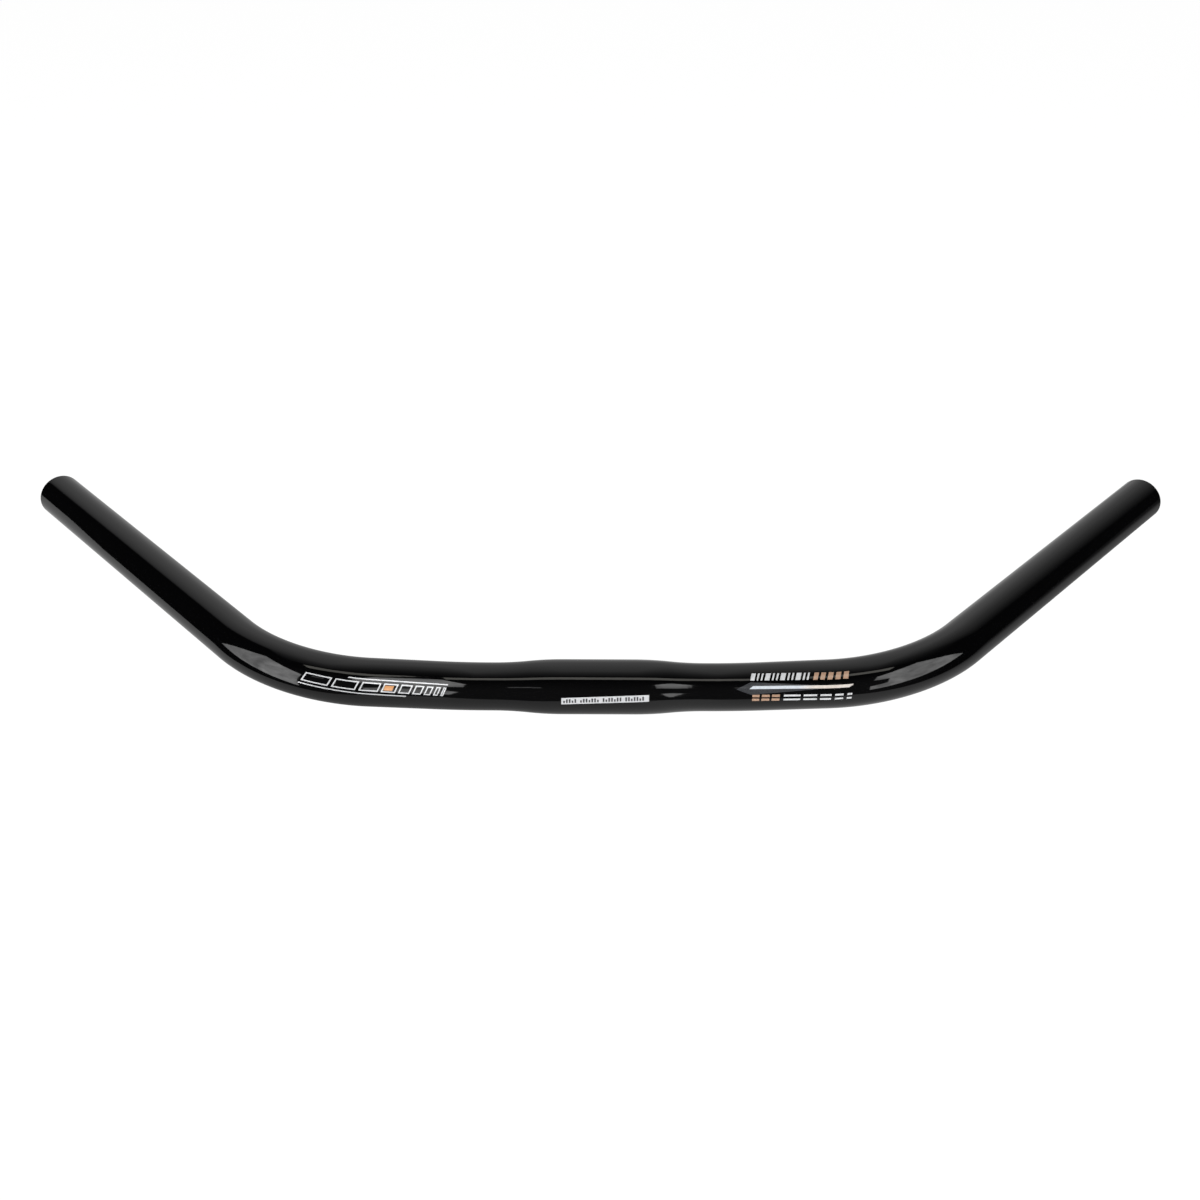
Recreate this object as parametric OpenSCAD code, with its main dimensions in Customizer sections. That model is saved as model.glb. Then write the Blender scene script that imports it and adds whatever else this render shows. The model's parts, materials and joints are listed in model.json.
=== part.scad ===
// Cruiser handlebar: one alloy tube with a thick middle, bent twice on each side and open at both ends.
// Millimetres. X runs along the stem clamp, Y goes back to the rider, Z is up. The origin is the clamp's centre.

/* [Stem clamp] */
// Outside diameter that the stem grips
clamp_d = 25.4; // [25:0.1:32]
// Length of the cylinder that the stem grips
clamp_len = 33; // [20:1:60]
// Length of the S-shaped taper on each side of the clamp
taper_len = 32; // [12:1:60]

/* [Tube] */
// Outside diameter of the bends and the grips
tube_d = 22.2; // [19:0.1:24]
// Thickness of the wall
wall = 2.2; // [1.6:0.1:3]
// Rounding of the outer rim at each open end
rim_r = 0.8; // [0.2:0.1:1]
// Chamfer of the inner rim at each open end
mouth_chamfer = 0.4; // [0.1:0.1:0.5]

/* [Runs] */
// Straight tube between the taper and the first bend
lead_len = 1.5; // [0.5:0.5:40]
// Straight tube between the two bends
link_len = 30; // [5:1:80]
// Straight tube of the grip, out to its end
grip_len = 177; // [100:1:250]

/* [Bends] */
// Centreline radius of the first bend, which lifts the tube up and forward
rise_bend_r = 90; // [50:1:200]
// Angle of the first bend
rise_bend_angle = 16; // [4:1:35]
// Centreline radius of the main bend, which sweeps the grip back
sweep_bend_r = 70; // [45:1:150]
// Angle of the main bend
sweep_bend_angle = 58; // [20:1:90]
// Turn of the tube about its own axis between the two bends
bend_turn = 141; // [100:1:180]

/* [Hidden] */
$fn = 96;

// Sides of a full circle as large as the taper's arcs
ARC_FN = 720;

// A bend reaches this far into the straight tube at each of its ends
joint_reach = 0.3;
// and lies this far inside that tube's wall, so that the two are one solid
joint_step = 0.005;

clamp_r = clamp_d / 2;
tube_r = tube_d / 2;
bore_r = tube_r - wall;

// The taper is two equal arcs that meet halfway, so it leaves the clamp and joins the tube without a corner.
taper_drop = clamp_r - tube_r;
taper_arc_r = (taper_len ^ 2 + taper_drop ^ 2) / (4 * taper_drop);
taper_start = clamp_len / 2;
taper_middle = taper_start + taper_len / 2;
taper_end = taper_start + taper_len;

// Back and up parts of the grip's direction, taken with the first bend laid straight back.
// Rolling the first bend by the angle between them, and the second with it, leaves the grip level.
grip_back = cos(sweep_bend_angle) * sin(rise_bend_angle)
    + sin(sweep_bend_angle) * cos(bend_turn) * cos(rise_bend_angle);
grip_up = -sin(sweep_bend_angle) * sin(bend_turn);
rise_roll = -atan2(grip_up, grip_back);
sweep_roll = rise_roll - bend_turn;

bar_black = [0.03, 0.03, 0.035];

// Half section through the middle: x is the radius and y the distance along the bar.
// depth moves the whole outline in, so that one outline serves the skin and the bore.
module middle_section(depth) {
    intersection() {
        translate([0, -taper_middle]) square([clamp_r - depth, 2 * taper_middle]);
        union() {
            translate([0, -taper_start]) square([clamp_r - depth, 2 * taper_start]);
            for (side = [-1, 1]) {
                translate([clamp_r - depth - taper_arc_r, side * taper_start])
                    circle(r = taper_arc_r, $fn = ARC_FN);
            }
        }
    }
    difference() {
        translate([0, -taper_end]) square([tube_r - depth + taper_drop / 2, 2 * taper_end]);
        for (side = [-1, 1]) {
            translate([tube_r - depth + taper_arc_r, side * taper_end])
                circle(r = taper_arc_r, $fn = ARC_FN);
        }
    }
}

// Thick middle of the bar with its two tapers, turned about the X axis
module middle() {
    rotate([0, 90, 0]) rotate_extrude() {
        difference() {
            middle_section(0);
            middle_section(wall);
        }
    }
}

// Cross-section of the tube, with both of its surfaces step inside the wall
module ring(step) {
    difference() {
        circle(r = tube_r - step);
        circle(r = bore_r + step);
    }
}

// Straight run of tube along Y. What follows it starts at its end.
module run(length) {
    rotate([-90, 0, 0]) linear_extrude(length) ring(0);
    translate([0, length, 0]) children();
}

// Bend of a tube that runs along Y, towards -X or, with a roll, turned about the tube from there.
// What follows starts at its end, in a frame that has turned with the tube but not about it.
module bend(radius, angle, roll) {
    reach_angle = joint_reach / radius * 180 / PI;
    rotate([0, roll, 0]) translate([-radius, 0, 0]) {
        rotate_extrude(start = -reach_angle, angle = angle + 2 * reach_angle)
            translate([radius, 0]) rotate(roll) ring(joint_step);
        rotate([0, 0, angle]) translate([radius, 0, 0]) rotate([0, -roll, 0]) children();
    }
}

// Grip along Y, with a rounded outer rim and a chamfered mouth at its open end
module grip() {
    rotate([-90, 0, 0]) rotate_extrude() {
        difference() {
            union() {
                translate([bore_r, 0]) square([wall, grip_len - rim_r]);
                translate([bore_r, 0]) square([wall - rim_r, grip_len]);
                translate([tube_r - rim_r, grip_len - rim_r]) circle(r = rim_r);
            }
            polygon([
                [bore_r, grip_len - mouth_chamfer],
                [bore_r + mouth_chamfer, grip_len],
                [bore_r, grip_len],
            ]);
        }
    }
}

// Everything on one side of the middle, in the order in which the tube is bent
module arm() {
    translate([taper_end, 0, 0]) rotate([0, 0, -90]) {
        run(lead_len)
            bend(rise_bend_r, rise_bend_angle, rise_roll)
                run(link_len)
                    bend(sweep_bend_r, sweep_bend_angle, sweep_roll)
                        grip();
    }
}

module handlebar() {
    color(bar_black) {
        middle();
        arm();
        mirror([1, 0, 0]) arm();
    }
}

handlebar();
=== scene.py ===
# Looks of the cruiser handlebar: black gloss tube with bare bore, plain transfers and a pale studio.
# Metres. X runs along the stem clamp, Y goes back to the rider, Z is up.
import json
import math

import bpy
from mathutils import Euler, Matrix, Vector


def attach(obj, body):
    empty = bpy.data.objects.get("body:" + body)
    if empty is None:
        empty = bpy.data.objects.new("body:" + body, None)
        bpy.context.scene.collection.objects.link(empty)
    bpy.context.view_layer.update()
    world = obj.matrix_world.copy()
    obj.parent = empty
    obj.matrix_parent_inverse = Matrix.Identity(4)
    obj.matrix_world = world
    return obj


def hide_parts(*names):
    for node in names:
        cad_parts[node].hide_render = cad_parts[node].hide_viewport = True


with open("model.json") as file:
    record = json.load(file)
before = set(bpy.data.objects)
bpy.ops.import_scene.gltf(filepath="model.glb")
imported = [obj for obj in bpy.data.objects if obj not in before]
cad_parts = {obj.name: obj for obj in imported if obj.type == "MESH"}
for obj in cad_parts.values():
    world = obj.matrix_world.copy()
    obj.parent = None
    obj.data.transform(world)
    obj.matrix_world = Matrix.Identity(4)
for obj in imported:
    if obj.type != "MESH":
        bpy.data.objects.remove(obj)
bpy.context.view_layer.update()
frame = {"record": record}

MM = 0.001

mounts = {mount["name"]: mount for mount in frame["record"]["mounts"]}


def mount_size(name, key):
    """Size of a mount, in metres."""
    return mounts[name]["dims"][key] * MM


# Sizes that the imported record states
CLAMP_R = mount_size("stem_clamp", "r_mm")
CLAMP_LEN = mount_size("stem_clamp", "length_mm")
TUBE_R = mount_size("grip_right", "r_mm")
BORE_R = mount_size("bar_end_right", "r_mm")
WALL = TUBE_R - BORE_R
GRIP_AXIS = Vector(mounts["grip_right"]["axis"])
GRIP_MIDDLE = Vector(mounts["grip_right"]["pos_m"])
# From the middle of the grip's mount to the rounded rim
GRIP_REACH = mount_size("grip_right", "length_mm") / 2

# Sizes of the part's source that the record doesn't state
TAPER_LEN = 32 * MM
LEAD_LEN = 1.5 * MM
LINK_LEN = 30 * MM
GRIP_LEN = 177 * MM
RISE_BEND_R = 90 * MM
RISE_BEND_ANGLE = math.radians(16)
SWEEP_BEND_R = 70 * MM
SWEEP_BEND_ANGLE = math.radians(58)
BEND_TURN = math.radians(141)
RIM_R = 0.8 * MM
MOUTH_CHAMFER = 0.4 * MM

# Way that each bend goes, as an angle round the tube from the front over the top.
# The first one is such that the grip comes out level.
grip_back = (math.cos(SWEEP_BEND_ANGLE) * math.sin(RISE_BEND_ANGLE)
             + math.sin(SWEEP_BEND_ANGLE) * math.cos(BEND_TURN) * math.cos(RISE_BEND_ANGLE))
grip_up = -math.sin(SWEEP_BEND_ANGLE) * math.sin(BEND_TURN)
RISE_LEAN = math.pi + math.atan2(grip_up, grip_back)
SWEEP_LEAN = RISE_LEAN + BEND_TURN

TAPER_START = CLAMP_LEN / 2
TAPER_END = TAPER_START + TAPER_LEN
TAPER_DROP = CLAMP_R - TUBE_R
TAPER_ARC_R = (TAPER_LEN ** 2 + TAPER_DROP ** 2) / (4 * TAPER_DROP)

# Length, radius and lean of each run of the centreline, from the middle out. A radius of 0 is a straight.
RUNS = [
    (TAPER_END + LEAD_LEN, 0, 0),
    (RISE_BEND_R * RISE_BEND_ANGLE, RISE_BEND_R, RISE_LEAN),
    (LINK_LEN, 0, 0),
    (SWEEP_BEND_R * SWEEP_BEND_ANGLE, SWEEP_BEND_R, SWEEP_LEAN),
    (GRIP_LEN, 0, 0),
]
HALF_LEN = sum(run[0] for run in RUNS)

# Sides of the tube's mesh
SIDES = 128


def spine(s):
    """Point, front and up of the centreline, s metres along it from the middle."""
    point = Vector((0, 0, 0))
    along, front, up = Vector((1, 0, 0)), Vector((0, -1, 0)), Vector((0, 0, 1))
    left = abs(s)
    for length, radius, lean in RUNS:
        step = min(left, length)
        if radius:
            inward = math.cos(lean) * front + math.sin(lean) * up
            angle = step / radius
            point += radius * (math.sin(angle) * along + (1 - math.cos(angle)) * inward)
            turn = Matrix.Rotation(angle, 3, along.cross(inward))
            along, front, up = turn @ along, turn @ front, turn @ up
        else:
            point += step * along
        left -= step
        if left <= 0:
            break
    if s < 0:
        point.x, front.x, up.x = -point.x, -front.x, -up.x
    return point, front, up


def outer_radius(s):
    """Outside radius of the tube, s metres along it from the middle."""
    s = abs(s)
    if s <= TAPER_START:
        return CLAMP_R
    if s <= TAPER_START + TAPER_LEN / 2:
        return CLAMP_R - TAPER_ARC_R + math.sqrt(TAPER_ARC_R ** 2 - (s - TAPER_START) ** 2)
    if s <= TAPER_END:
        return TUBE_R + TAPER_ARC_R - math.sqrt(TAPER_ARC_R ** 2 - (TAPER_END - s) ** 2)
    return TUBE_R


def skin_point(s, phi, lift):
    """Point lift over the tube's skin, s metres along it and at angle phi from the front over the top."""
    point, front, up = spine(s)
    return point + (outer_radius(s) + lift) * (math.cos(phi) * front + math.sin(phi) * up)


def new_object(name, points, faces, materials, crisp=None):
    """Smooth-shaded mesh object. Edges that turn by more than the angle crisp stay sharp."""
    mesh = bpy.data.meshes.new(name)
    mesh.from_pydata([tuple(p) for p in points], [], faces)
    for material in materials:
        mesh.materials.append(material)
    mesh.polygons.foreach_set("use_smooth", [crisp is not None] * len(mesh.polygons))
    mesh.update()
    if crisp is not None:
        mesh.set_sharp_from_angle(angle=math.radians(crisp))
    thing = bpy.data.objects.new(name, mesh)
    bpy.context.scene.collection.objects.link(thing)
    return thing


# Node trees

class Nodes:
    """Short calls for building the node tree of a material or of the world."""

    def __init__(self, owner, output="ShaderNodeOutputMaterial"):
        self.owner = owner
        owner.use_nodes = True
        self.tree = owner.node_tree
        self.tree.nodes.clear()
        self.output = self.add(output)

    def put(self, socket, value):
        """Link a socket to another one, or set it to a plain value."""
        if isinstance(value, bpy.types.NodeSocket):
            self.tree.links.new(value, socket)
        else:
            socket.default_value = value

    def add(self, kind, inputs=None, **settings):
        """New node with its inputs, by name or index, and its settings."""
        node = self.tree.nodes.new(kind)
        for key, value in settings.items():
            setattr(node, key, value)
        for key, value in (inputs or {}).items():
            self.put(node.inputs[key], value)
        return node

    def math(self, operation, *values):
        return self.add("ShaderNodeMath", dict(enumerate(values)), operation=operation).outputs[0]

    def vector(self, operation, *values):
        node = self.add("ShaderNodeVectorMath", dict(enumerate(values)), operation=operation)
        return node.outputs["Value" if operation in ("DOT_PRODUCT", "DISTANCE") else "Vector"]

    def place(self):
        """Place on the object, in metres."""
        return self.add("ShaderNodeTexCoord").outputs["Object"]

    def noise(self, scale, detail=2.0, roughness=0.5, vector=None):
        return self.add("ShaderNodeTexNoise", {
            "Vector": vector or self.place(), "Scale": scale, "Detail": detail, "Roughness": roughness,
        }).outputs["Fac"]

    def remap(self, value, low, high, to_low=0.0, to_high=1.0):
        """Value carried from one range to another, and held at its ends."""
        return self.add("ShaderNodeMapRange", {
            "Value": value, "From Min": low, "From Max": high, "To Min": to_low, "To Max": to_high,
        }).outputs["Result"]

    def levels(self, value, stops):
        """Level at value, between stops of (value, level) that rise in value."""
        low, high = stops[0][0], stops[-1][0]
        node = self.add("ShaderNodeValToRGB", {"Fac": self.remap(value, low, high)})
        marks = node.color_ramp.elements
        for _ in stops[2:]:
            marks.new(0.5)
        for mark, (position, level) in zip(marks, stops):
            mark.position = (position - low) / (high - low)
            mark.color = (level, level, level, 1)
        return node.outputs["Color"]

    def blend(self, share, first, second):
        node = self.add("ShaderNodeMix", data_type="RGBA")
        for index, value in ((0, share), (6, first), (7, second)):
            self.put(node.inputs[index], value)
        return node.outputs[2]

    def bump(self, height, distance, normal=None):
        inputs = {"Height": height, "Distance": distance}
        if normal:
            inputs["Normal"] = normal
        return self.add("ShaderNodeBump", inputs).outputs["Normal"]

    def end(self, shader):
        """Close the tree with its shader, and give back what it belongs to."""
        self.tree.links.new(shader.outputs[0], self.output.inputs["Surface"])
        return self.owner


def material_nodes(name):
    return Nodes(bpy.data.materials.new(name))


# Materials of the bar

def gloss_black_paint():
    n = material_nodes("gloss_black_paint")
    # Sprayed paint: a faint orange peel over slow waves of the drawn tube
    peel = n.bump(n.noise(420, 1.0), 0.000010)
    waves = n.bump(n.noise(38, 1.0), 0.000060, peel)
    # Haze of handling and specks of dust only dull the gloss a little
    haze = n.remap(n.noise(70, 4.0, 0.6), 0.35, 0.75)
    dust = n.remap(n.noise(2600, 2.0, 0.7), 0.72, 0.80)
    rough = n.math("ADD", n.remap(haze, 0.0, 1.0, 0.03, 0.07), n.math("MULTIPLY", dust, 0.10))
    colour = n.blend(dust, (0.0011, 0.0011, 0.0013, 1), (0.016, 0.015, 0.014, 1))
    return n.end(n.add("ShaderNodeBsdfPrincipled", {
        "Base Color": colour, "Roughness": rough, "IOR": 1.5, "Normal": waves,
    }))


def bare_alloy():
    n = material_nodes("bare_alloy")
    # Draw marks run along the tube, so the noise is squeezed round it
    stretched = n.add("ShaderNodeMapping", {"Vector": n.place(), "Scale": (60, 60, 1400)}).outputs[0]
    streaks = n.noise(1.0, 4.0, vector=stretched)
    blotches = n.remap(n.noise(160, 3.0), 0.3, 0.7)
    metal = n.blend(blotches, (0.52, 0.52, 0.53, 1), (0.68, 0.68, 0.68, 1))
    # Paint mist reaches a few millimetres into the mouth, with a ragged edge.
    # Without its signs, a place on the left arm is the same place on the right arm.
    mouth = GRIP_MIDDLE.dot(GRIP_AXIS) + GRIP_REACH
    mist_len, mist_full, ragged_by = 3 * MM, 0.5 * MM, 1.5 * MM
    along = n.vector("DOT_PRODUCT", n.vector("ABSOLUTE", n.place()), GRIP_AXIS)
    ragged = n.math("ADD", along, n.remap(n.noise(300, 3.0), 0.2, 0.8, -ragged_by, ragged_by))
    mist = n.remap(ragged, mouth - mist_len, mouth - mist_full)
    return n.end(n.add("ShaderNodeBsdfPrincipled", {
        "Base Color": n.blend(mist, metal, (0.010, 0.010, 0.011, 1)),
        "Metallic": n.remap(mist, 0.3, 0.7, 1.0, 0.0),
        "Roughness": n.remap(streaks, 0.3, 0.7, 0.40, 0.58),
        "Normal": n.bump(streaks, 0.00004),
    }))


def ink(name, colour, metallic, roughness, drift=None):
    """Printed film under the clear coat: slightly uneven ink, which may drift slowly to a second colour."""
    n = material_nodes(name)
    mottle = n.remap(n.noise(900, 3.0), 0.3, 0.7)
    grain = n.noise(3500, 2.0)
    base = (*colour, 1)
    if drift:
        base = n.blend(n.remap(n.noise(38, 0.0), 0.40, 0.60), base, (*drift, 1))
    # Where the ink is thin, the black under it shows through a little
    see_through, uneven = 0.14, 0.06
    thin = n.blend(see_through, base, (0, 0, 0, 1))
    return n.end(n.add("ShaderNodeBsdfPrincipled", {
        "Base Color": n.blend(mottle, thin, base),
        "Metallic": metallic,
        "Roughness": n.remap(grain, 0.3, 0.7, roughness - uneven, roughness + uneven),
        "Coat Weight": 1.0,
        "Coat Roughness": 0.05,
        "Normal": n.bump(grain, 0.000004),
    }))


BLACK = gloss_black_paint()
ALLOY = bare_alloy()
SILVER = ink("silver_ink", (0.80, 0.81, 0.83), 0.2, 0.35)
WHITE = ink("white_ink", (0.77, 0.78, 0.80), 0.0, 0.30)
COPPER = ink("copper_ink", (0.55, 0.345, 0.235), 0.1, 0.35)
PEARL = ink("pearl_ink", (0.84, 0.76, 0.69), 0.0, 0.30, drift=(0.76, 0.81, 0.88))
ORANGE = ink("orange_ink", (0.80, 0.36, 0.12), 0.0, 0.30)
# The grey of this ink is a painted reflection of the left softbox, for the band on the right transfer
PAINTED_REFLECTION_GREY = ink("painted_reflection_ink", (0.040, 0.042, 0.047), 0.0, 0.30)
PRINT = ink("print_ink", (0.04, 0.04, 0.045), 0.0, 0.35)


# Tube

def steps(start, end, step):
    """Evenly spaced values from start up to, but not at, end."""
    count = max(1, math.ceil(abs(end - start) / step - 1e-6))
    return [start + (end - start) * i / count for i in range(count)]


def half_profile():
    """Distance, radius and bareness of each ring of the right half: along the skin, then back in the bore."""
    straight_step, curved_step, rim_steps, rim_lead = 5 * MM, 1.2 * MM, 6, 0.4 * MM
    rim_start = HALF_LEN - RIM_R
    s = TAPER_END + LEAD_LEN
    stations = steps(0, TAPER_START, straight_step) + steps(TAPER_START, TAPER_END, curved_step)
    stations += steps(TAPER_END, s, straight_step)
    for length, radius, _ in RUNS[1:-1]:
        stations += steps(s, s + length, curved_step if radius else straight_step)
        s += length
    stations += steps(s, rim_start - rim_lead, straight_step) + [rim_start - rim_lead]
    profile = [(s, outer_radius(s), False) for s in stations]
    for i in range(rim_steps + 1):
        turn = math.pi / 2 * i / rim_steps
        profile.append((rim_start + RIM_R * math.sin(turn), TUBE_R - RIM_R + RIM_R * math.cos(turn), False))
    profile.append((HALF_LEN, BORE_R + MOUTH_CHAMFER, False))
    profile.append((HALF_LEN - MOUTH_CHAMFER, BORE_R, True))
    profile += [(s, outer_radius(s) - WALL, True) for s in reversed(stations[:-1])]
    return profile


def build_tube():
    """The whole tube as one closed mesh of rings, which stands for the CAD's tube."""
    half = half_profile()
    profile = half + [(-s, r, bare) for s, r, bare in reversed(half[1:-1])]
    points = []
    for s, r, _ in profile:
        centre, front, up = spine(s)
        for j in range(SIDES):
            phi = 2 * math.pi * j / SIDES
            points.append(centre + r * (math.cos(phi) * front + math.sin(phi) * up))
    faces, slots = [], []
    for i, ring in enumerate(profile):
        after = (i + 1) % len(profile)
        bare = ring[2] or profile[after][2]
        for j in range(SIDES):
            k = (j + 1) % SIDES
            faces.append((i * SIDES + j, after * SIDES + j, after * SIDES + k, i * SIDES + k))
            slots.append(int(bare))
    tube = new_object("bar_tube", points, faces, [BLACK, ALLOY], crisp=30)
    tube.data.polygons.foreach_set("material_index", slots)
    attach(tube, "root")
    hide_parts("handlebar")


# Transfers: thin films that follow the skin. A place on them is (mm along, mm up) in a slanted strip of the
# skin, and a shape is a grid of such places: columns along it, each with its rows from one edge to the other.

# Heights of a film's outer and inner faces over the skin. What lies on another film is lifted by FILM_TOP.
FILM_TOP = 0.05 * MM
FILM_BASE = 0.01 * MM

# Spacing of a grid along its strip and across it, in mm, fine enough for the curved skin
COLUMN = 1.0
ROW = 0.6


class Strip:
    """Slanted strip of the skin from one (distance in mm, angle in degrees) to another."""

    def __init__(self, start, end):
        self.start, self.end = start, end
        self.length = end[0] - start[0]

    def at(self, x, y):
        """Distance along the bar and angle round it of a place on the strip."""
        s = self.start[0] + x
        share = x / self.length
        phi = self.start[1] + share * (self.end[1] - self.start[1])
        return s * MM, math.radians(phi) + y * MM / TUBE_R


def spread(a, b, count):
    """Evenly spaced values from a to b, both of them included."""
    return [a + (b - a) * i / count for i in range(count + 1)]


def patch(a, b, c, d):
    """Grid over the four-cornered shape a, b, c, d, whose corners go round it."""
    columns = max(1, math.ceil(max(abs(b[0] - a[0]), abs(c[0] - d[0])) / COLUMN))
    rows = max(1, math.ceil(max(abs(d[1] - a[1]), abs(c[1] - b[1])) / ROW))
    grid = []
    for x in spread(0, 1, columns):
        low = [(1 - x) * a[k] + x * b[k] for k in (0, 1)]
        high = [(1 - x) * d[k] + x * c[k] for k in (0, 1)]
        grid.append([[(1 - y) * low[k] + y * high[k] for k in (0, 1)] for y in spread(0, 1, rows)])
    return grid


def slanted(x0, x1, y0, y1, slant=0.0):
    """Corners of a bar whose top is set along by slant."""
    return (x0, y0), (x1, y0), (x1 + slant, y1), (x0 + slant, y1)


def bar(*size):
    """Grid over a slanted bar, whose size is given as for slanted()."""
    return patch(*slanted(*size))


def outline(corners, line):
    """Grid over a line inside the edge of a convex shape, whose corners go round anticlockwise."""
    edges = []
    for (x, y), (x_next, y_next) in zip(corners, corners[1:] + corners[:1]):
        length = math.hypot(x_next - x, y_next - y)
        along = ((x_next - x) / length, (y_next - y) / length)
        # A point of the edge moved in by the line's thickness, and the edge's direction
        edges.append((x - line * along[1], y + line * along[0], *along))
    inner = []
    for (px, py, ux, uy), (qx, qy, vx, vy) in zip(edges[-1:] + edges[:-1], edges):
        reach = ((qx - px) * vy - (qy - py) * vx) / (ux * vy - uy * vx)
        inner.append((px + reach * ux, py + reach * uy))
    grid = []
    for i in range(len(corners)):
        j = (i + 1) % len(corners)
        count = max(1, math.ceil(math.dist(corners[i], corners[j]) / COLUMN))
        for share in spread(0, 1, count)[:-1]:
            grid.append([
                [(1 - share) * loop[i][k] + share * loop[j][k] for k in (0, 1)] for loop in (corners, inner)
            ])
    return grid


def film_faces(columns, rows, loop, first):
    """Faces of a closed film. Its points start at first, with the outer face before the inner one."""
    def at(i, j, inner):
        return first + (inner * columns + i % columns) * rows + j

    last, top = columns - 1, rows - 1
    faces = []
    for i in range(columns if loop else last):
        for j in range(top):
            faces.append((at(i, j, 0), at(i + 1, j, 0), at(i + 1, j + 1, 0), at(i, j + 1, 0)))
            faces.append((at(i, j + 1, 1), at(i + 1, j + 1, 1), at(i + 1, j, 1), at(i, j, 1)))
        faces.append((at(i, 0, 1), at(i + 1, 0, 1), at(i + 1, 0, 0), at(i, 0, 0)))
        faces.append((at(i, top, 0), at(i + 1, top, 0), at(i + 1, top, 1), at(i, top, 1)))
    if not loop:
        for j in range(top):
            faces.append((at(0, j, 0), at(0, j + 1, 0), at(0, j + 1, 1), at(0, j, 1)))
            faces.append((at(last, j, 1), at(last, j + 1, 1), at(last, j + 1, 0), at(last, j, 0)))
    return faces


def film(name, strip, shapes, material, lift=0.0):
    """One mesh of closed films, one for each shape. A shape is a grid and whether its two ends meet."""
    points, faces = [], []
    for grid, loop in shapes:
        first = len(points)
        for level in (lift + FILM_TOP, lift + FILM_BASE):
            for column in grid:
                points += [skin_point(*strip.at(x, y), level) for x, y in column]
        faces += film_faces(len(grid), len(grid[0]), loop, first)
    piece = new_object(name, points, faces, [material], crisp=30)
    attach(piece, "root")


def solid(*grids):
    """Shapes that fill their grids from end to end."""
    return [(grid, False) for grid in grids]


def frames(*grids):
    """Shapes whose grids run all the way round."""
    return [(grid, True) for grid in grids]


def size_label():
    """White strip on the clamp, set a little crooked, with one line of plain dark marks."""
    strip = Strip((-17.0, 7.7), (22.8, 15.0))
    height = 2.9
    film("label_strip", strip, solid(bar(0, strip.length, -height / 2, height / 2)), WHITE)
    margin, pitch, width, half, short_top = 0.9, 1.28, 0.72, 0.85, 0.2
    marks = []
    for i in range(30):
        # Every eighth place is bare, and every third mark is short
        if i % 8 != 5:
            x = margin + i * pitch
            marks.append(bar(x, x + width, -half, half if i % 3 else short_top))
    film("label_marks", strip, solid(*marks), PRINT, lift=FILM_TOP)


def left_transfer():
    """Outlined slanted blocks that get shorter to the right, one with an orange core, and two pinstripes."""
    strip = Strip((-134.0, 31.5), (-70.0, 23.5))
    line, slant, half, gap = 0.55, 1.5, 2.05, 1.3
    blocks = []
    x = 1.0
    for width in (10.6, 9.2, 7.8, 6.4, 5.1, 3.9, 2.9, 2.1, 1.5):
        blocks.append(outline(slanted(x, x + width, -half, half, slant), line))
        x += width + gap
    film("left_transfer_blocks", strip, frames(*blocks), SILVER)
    # One pinstripe along the lower left of the blocks, and one along their upper right
    near, far, stripe_slant = 3.1, 3.6, 0.2
    stripes = [bar(0.0, 44.0, -far, -near, stripe_slant), bar(19.0, 63.0, near, far, stripe_slant)]
    film("left_transfer_stripes", strip, solid(*stripes), SILVER)
    film("left_transfer_bar", strip, solid(bar(33.6, 37.6, -1.1, 1.1, 0.8)), ORANGE)


def stripe_pair(x, length, lower, upper, height, slant):
    """Two stripes with their bottoms at lower and upper, the upper one set along a little."""
    shift = 0.4
    return [
        bar(x, x + length, lower, lower + height, slant),
        bar(x + shift, x + shift + length, upper, upper + height, slant),
    ]


def right_transfer():
    """Plain rows of bars and stripes on both sides of a slim bar, over a tapered grey band of painted
    reflection.
    """
    strip = Strip((70.5, 37.2), (116.8, 31.2))
    # The painted reflection band's tip and its tail meet in one column
    tip = patch((-6.4, -0.9), (1.0, -3.4), (1.0, 2.4), (-6.4, -0.8))
    tail = patch((1.0, -3.4), (38.0, -0.5), (38.0, 0.5), (1.0, 2.4))
    film("right_transfer_painted_reflection", strip, solid(tip + tail[1:]), PAINTED_REFLECTION_GREY)
    slim = bar(0.2, 44.0, -0.68, 0.68, 2.0)
    film("right_transfer_bar", strip, solid(slim), PEARL, lift=FILM_TOP)
    white, copper = [], []
    # Upper row: one wide and two thin bars by turns in white, then wide ones in copper
    x, low, high, slant, gap = 0.8, 3.2, 6.6, 0.7, 1.05
    for width in (2.2, 0.8, 0.8) * 4:
        white.append(bar(x, x + width, low, high, slant))
        x += width + gap
    x, width, pitch = x + 1.0, 2.0, 3.1
    for _ in range(5):
        copper.append(bar(x, x + width, low, high, slant))
        x += pitch
    # Lower row: pairs of stripes, first alike in copper, then ever shorter in white
    for x in (1.0, 5.6, 10.2):
        copper += stripe_pair(x, 3.6, -6.4, -4.5, 1.2, 0.25)
    x, gap = 15.6, 1.4
    for length in (7.5, 6.0, 4.6, 3.2, 1.8):
        white += stripe_pair(x, length, -6.3, -4.3, 0.9, 0.2)
        x += length + gap
    film("right_transfer_white", strip, solid(*white), WHITE, lift=FILM_TOP)
    film("right_transfer_copper", strip, solid(*copper), COPPER, lift=FILM_TOP)


# Studio

FLOOR_Z = -0.25


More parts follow.
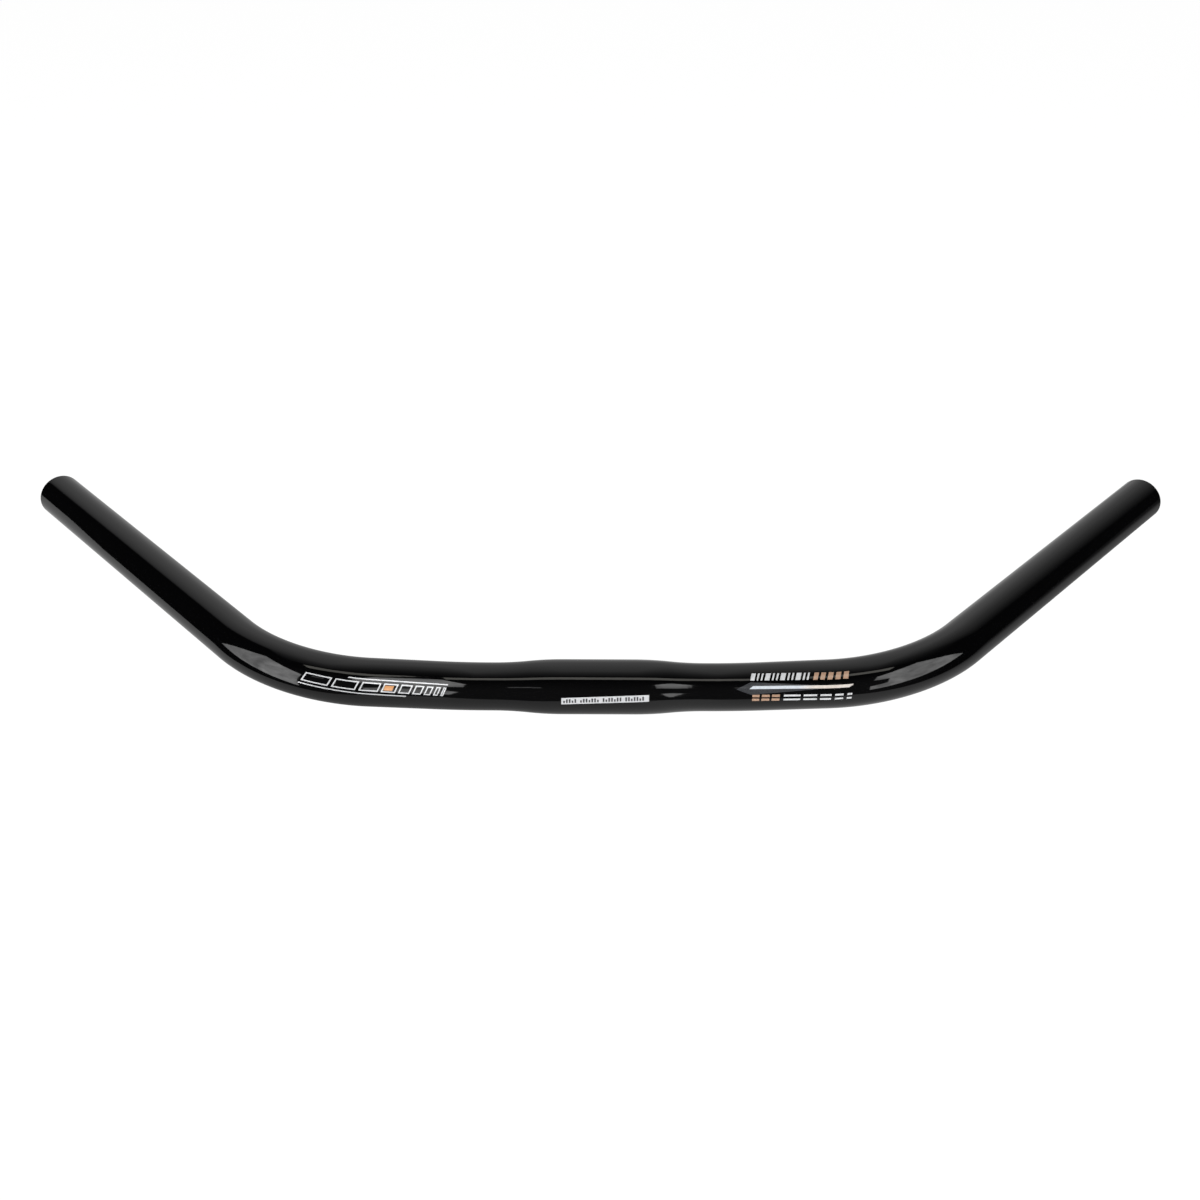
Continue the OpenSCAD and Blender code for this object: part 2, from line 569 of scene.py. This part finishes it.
def paper(name, glossy):
    """Pale paper: white to the camera but for the bar's shadow. In reflections it glows as glossy says."""
    own_light, unlit = 0.95, 0.82
    n = material_nodes(name)
    rays = n.add("ShaderNodeLightPath").outputs
    seen = rays["Is Camera Ray"]
    mirrored = n.math("MAXIMUM", rays["Is Glossy Ray"], rays["Is Transmission Ray"])
    own = n.math("ADD", n.math("MULTIPLY", seen, own_light), n.math("MULTIPLY", mirrored, glossy(n)))
    lamp = n.add("ShaderNodeEmission", {"Strength": own})
    # The rest is plain lit paper: all for diffuse rays, a shadow's worth for the camera, none in reflections
    lit = n.math("SUBTRACT", 1.0, n.math("ADD", n.math("MULTIPLY", seen, unlit), mirrored))
    white = n.add("ShaderNodeBsdfDiffuse", {"Color": (0.80, 0.80, 0.79, 1)})
    black = n.add("ShaderNodeEmission", {"Strength": 0.0})
    kept = n.add("ShaderNodeMixShader", {0: lit, 1: black.outputs[0], 2: white.outputs[0]})
    return n.end(n.add("ShaderNodeAddShader", {0: kept.outputs[0], 1: lamp.outputs[0]}))


def sheet_glow(n):
    """Painted light of each place of the sheet in a reflection. It fades to the right, and has two dips of
    painted shade.
    """
    across = n.add("ShaderNodeSeparateXYZ", {0: n.place()}).outputs["X"]
    level = n.levels(across, [
        (-1.5, 0.66), (-0.8, 0.60), (-0.5, 0.55), (-0.3, 0.47), (-0.15, 0.47), (0.0, 0.53), (0.09, 0.64),
        (0.3, 0.62), (0.5, 0.55), (0.62, 0.47), (0.8, 0.33), (1.05, 0.16), (1.4, 0.05),
    ])
    # A dip of painted shade dims the sheet to a least share up to near from its middle, and ends at far. The
    # first, under the bar's left arm, is the bar's painted shadow
    for x, y, near, far, least in ((-0.17, 0.07, 0.0, 0.26, 0.60), (0.50, 0.36, 0.1, 0.42, 0.45)):
        shade_dip = n.remap(n.vector("DISTANCE", n.place(), (x, y, FLOOR_Z)), near, far, least, 1.0)
        level = n.math("MULTIPLY", level, shade_dip)
    return level


def build_floor():
    half = 6.0
    corners = [(-half, -half), (half, -half), (half, half), (-half, half)]
    board = new_object("floor", [(x, y, FLOOR_Z - MM) for x, y in corners], [(0, 1, 2, 3)],
                       [paper("floor_board", lambda n: 0.0)])
    # Sheet on the board, whose light in reflections is a painted glow. Its front edge is what the lower band
    # on the tube ends at.
    edge = [
        (-2.7, 0.60), (-1.30, 0.30), (-1.05, 0.15), (-0.92, 0.05), (-0.80, -0.05), (-0.70, -0.15),
        (-0.50, -0.27), (-0.30, -0.36), (-0.16, -0.46), (-0.04, -0.58), (0.18, -0.68), (0.36, -0.58),
        (0.48, -0.48), (0.60, -0.38), (0.76, -0.27), (0.95, -0.15), (1.4, 0.05), (2.7, 0.60),
        (2.7, 5.0), (-2.7, 5.0),
    ]
    sheet = new_object("floor_sheet", [(x, y, FLOOR_Z) for x, y in edge], [tuple(range(len(edge)))],
                       [paper("floor_sheet", sheet_glow)])
    # The board would cut off the lower ends of the softboxes in the tube
    board.visible_glossy = False


def glow(name, strength, mottle=0.1, colour=(1, 1, 1, 1), side=None):
    """Lamp cloth with upright streaks, uneven by mottle. With a side, strength is levels along that way."""
    n = material_nodes(name)
    level = n.levels(n.vector("DOT_PRODUCT", n.place(), side), strength) if side else strength
    upright = n.add("ShaderNodeMapping", {"Vector": n.place(), "Scale": (2.4, 2.4, 0.9)}).outputs[0]
    streaks = n.remap(n.noise(1.0, 6.0, 0.6, upright), 0.35, 0.65, 1 - mottle, 1 + mottle)
    uneven = n.math("MULTIPLY", level, streaks)
    return n.end(n.add("ShaderNodeEmission", {"Color": colour, "Strength": uneven}))


def direction(azimuth, elevation):
    """Unit vector: azimuth from straight ahead of the bar towards +X, elevation up from level."""
    a, e = math.radians(azimuth), math.radians(elevation)
    return Vector((math.sin(a) * math.cos(e), -math.cos(a) * math.cos(e), math.sin(e)))


def lamp(name, corners, material):
    """Flat lamp with these corners, which lights the bar but isn't seen itself."""
    thing = new_object(name, corners, [tuple(range(len(corners)))], [material])
    thing.visible_camera = False


def softbox(name, facing, corners, levels):
    """Flat softbox that faces the bar. Facing and the corners are directions, and levels run across it."""
    away = 3.0
    towards = direction(*facing)
    side = Vector((-towards.y, towards.x, 0)).normalized() / away
    points = []
    for corner in corners:
        ray = direction(*corner)
        points.append(ray * (away / ray.dot(towards)))
    lamp(name, points, glow(name, levels, 0.22, side=side))


def build_lamps():
    softbox("softbox_left", (-57, 12), [(-35, -22), (-60, -9), (-88, 4), (-68, 50), (-45, 41), (-28, 30)], [
        (-0.62, 2.1), (-0.12, 2.6), (-0.04, 2.2), (0.03, 3.5), (0.30, 3.3), (0.58, 2.8),
    ])
    # Its left edge stands back in the middle, which makes the two-part highlight on the right taper
    right = [
        (13, -6.5), (11, 9), (22, 14), (23, 30), (11.5, 33), (13, 47), (38, 57), (60, 59), (77, 13), (45, 2),
    ]
    softbox("softbox_right", (45, 20), right, [
        (-0.75, 2.6), (-0.60, 2.6), (-0.54, 2.0), (-0.42, 2.8), (-0.25, 3.4), (0.0, 2.4), (0.15, 2.6),
        (0.30, 3.1), (0.50, 2.4), (0.65, 2.0),
    ])
    # Lit edge of a stand, which shows as a faint sliver on the left taper
    softbox("stand_edge", (-16, 33), [(-21, 32), (-12, 32), (-12, 35), (-21, 35)], [(-0.1, 1.2), (0.1, 1.2)])
    # Narrow strip overhead, a little in front: it makes the thin line along the top of the tube
    x, y, half, z = 0.33, -0.30, 0.09, 1.0
    lamp("strip_light", [(-x, y - half, z), (x, y - half, z), (x, y + half, z), (-x, y + half, z)],
         glow("strip_light", 1.7, colour=(1.0, 0.98, 0.90, 1)))


def build_world():
    """White to the camera. For other rays, a pale backdrop behind the bar and a dark room in front."""
    world = bpy.data.worlds.new("studio")
    bpy.context.scene.world = world
    n = Nodes(world, "ShaderNodeOutputWorld")
    split = n.add("ShaderNodeSeparateXYZ", {0: n.add("ShaderNodeTexCoord").outputs["Generated"]}).outputs
    x, y, z = split["X"], split["Y"], split["Z"]
    # How far to the side, as x over y, but over a share of z near the zenith
    zenith_share, tiny = 0.28, 0.0001
    back = n.math("MAXIMUM", y, n.math("MAXIMUM", n.math("MULTIPLY", z, zenith_share), tiny))
    wall = n.levels(n.math("DIVIDE", x, back), [
        (-1.42, 0.0), (-1.25, 0.22), (-1.0, 0.36), (-0.4, 0.52), (-0.1, 0.64), (0.15, 0.64), (0.35, 0.46),
        (0.70, 0.31), (1.4, 0.16), (2.0, 0.08), (3.0, 0.0),
    ])
    # The backdrop leans over the bar and fades out overhead
    top = n.levels(n.math("DIVIDE", y, n.math("MAXIMUM", z, tiny)), [
        (-0.16, 0.0), (-0.11, 0.15), (0.0, 0.27), (0.15, 0.52), (0.30, 0.87), (0.55, 1.05), (0.9, 1.1),
        (1.3, 1.1), (2.0, 0.95), (3.5, 0.87),
    ])
    backdrop = n.math("MULTIPLY", wall, top)
    # The room is a little lighter straight ahead of the bar than at its sides
    room = n.remap(y, -0.95, -0.45, 0.07, 0.008)
    seen = n.add("ShaderNodeLightPath").outputs["Is Camera Ray"]
    strength = n.math("MAXIMUM", seen, n.math("MAXIMUM", backdrop, room))
    n.end(n.add("ShaderNodeBackground", {"Color": (1, 1, 1, 1), "Strength": strength}))


def build_camera():
    """Camera at the photograph's viewing angle."""
    data = bpy.data.cameras.new("camera")
    data.sensor_width = 36
    data.lens = 41.716
    camera = bpy.data.objects.new("camera", data)
    camera.location = (0.001919, -0.497667, 0.407207)
    camera.rotation_euler = Euler([math.radians(a) for a in (54.280, -0.089, 0.233)])
    bpy.context.scene.collection.objects.link(camera)
    bpy.context.scene.camera = camera


build_camera()
build_floor()
build_world()
build_lamps()
bpy.context.scene.view_settings.view_transform = "Standard"

build_tube()
size_label()
left_transfer()
right_transfer()
